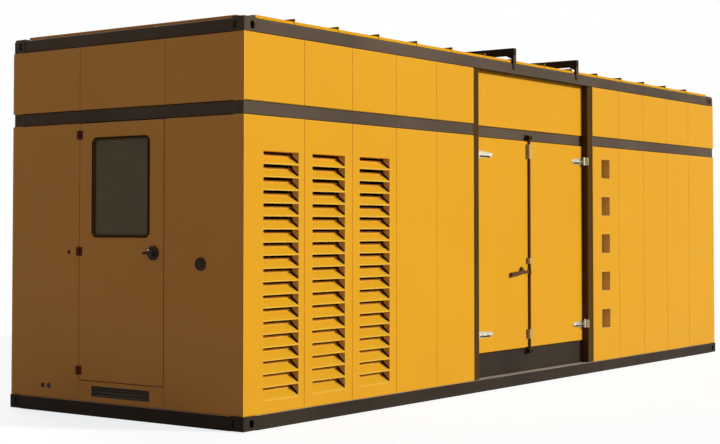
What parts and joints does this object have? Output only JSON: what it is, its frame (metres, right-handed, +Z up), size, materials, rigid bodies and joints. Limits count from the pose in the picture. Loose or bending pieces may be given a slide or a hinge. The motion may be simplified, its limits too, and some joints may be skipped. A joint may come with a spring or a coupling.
{
  "type": "containerised diesel generator enclosure",
  "caption": "Walk-in steel enclosure for a diesel generating set, with louvre banks, an end door with a window, a recessed double door with a lock rod, and a ribbed roof.",
  "frame": {"origin": "on the ground, under the middle of the base frame", "axes": "+X along the length, from the entry end to the far end; +Y from the side with the double door to the back side; +Z up"},
  "size_m": [8.2255, 2.438, 3.036],
  "materials": {
    "yellow_paint": "satin",
    "black_paint": "satin",
    "floor_plate": "matt",
    "zinc": "galvanised",
    "brown_steel": "matt",
    "black_plastic": "matt",
    "dark_glass": "gloss",
    "seal_rubber": "matt"
  },
  "bodies": {
    "enclosure": {"front_lower_walls": "yellow_paint", "front_step_wall": "yellow_paint", "front_upper_walls": "yellow_paint", "over_door_panel": "yellow_paint", "louvre_banks": "yellow_paint", "foot_pockets": "yellow_paint", "back_lower_walls": "yellow_paint", "back_upper_walls": "yellow_paint", "entry_walls": "yellow_paint", "entry_sill": "yellow_paint", "entry_upper_wall": "yellow_paint", "far_end_walls": "yellow_paint", "roof_deck": "yellow_paint", "roof_ribs": "yellow_paint", "base_rails": "black_paint", "bottom_castings": "black_paint", "floor_joists": "black_paint", "door_posts": "black_paint", "mid_side_rails": "black_paint", "mid_end_rails": "black_paint", "door_header": "black_paint", "top_rails": "black_paint", "top_castings": "black_paint", "door_sill": "black_paint", "sill_vent": "black_paint", "door_stops": "black_paint", "bridge_beams": "black_paint", "bridge_legs": "black_paint", "lock_keepers": "black_paint", "floor_deck": "floor_plate", "strap_brackets": "zinc", "entry_hinge_plates": "brown_steel", "wall_caps": "black_plastic"},
    "entry_door": {"entry_door": "yellow_paint", "entry_window": "dark_glass", "entry_window_seal": "seal_rubber", "entry_door_hinges": "brown_steel"},
    "entry_handle": {"entry_handle": "black_plastic"},
    "left_door": {"left_door": "yellow_paint", "left_straps": "zinc", "rod_guides": "zinc"},
    "right_door": {"right_door": "yellow_paint", "right_straps": "zinc"},
    "lock_rod": {"lock_rod": "black_paint", "lock_handle": "brown_steel"}
  },
  "joints": [
    {"name": "entry_door_hinge", "type": "hinge", "parent": "enclosure", "child": "entry_door", "pos_m": [-4.1, 0.443, 1.2], "axis": [0, 0, -1], "range_deg": [0, 110]},
    {"name": "entry_handle_turn", "type": "hinge", "parent": "entry_door", "child": "entry_handle", "pos_m": [-4.1, -0.342, 1.233], "axis": [-1, 0, 0], "range_deg": [0, 90]},
    {"name": "left_door_hinge", "type": "hinge", "parent": "enclosure", "child": "left_door", "pos_m": [-0.957, -1.172, 1.2], "axis": [0, 0, -1], "range_deg": [0, 120]},
    {"name": "right_door_hinge", "type": "hinge", "parent": "enclosure", "child": "right_door", "pos_m": [1.015, -1.172, 1.2], "axis": [0, 0, 1], "range_deg": [0, 120]},
    {"name": "lock_rod_turn", "type": "hinge", "parent": "left_door", "child": "lock_rod", "pos_m": [-0.029, -1.157, 1.013], "axis": [0, 0, 1], "range_deg": [0, 100]}
  ]
}
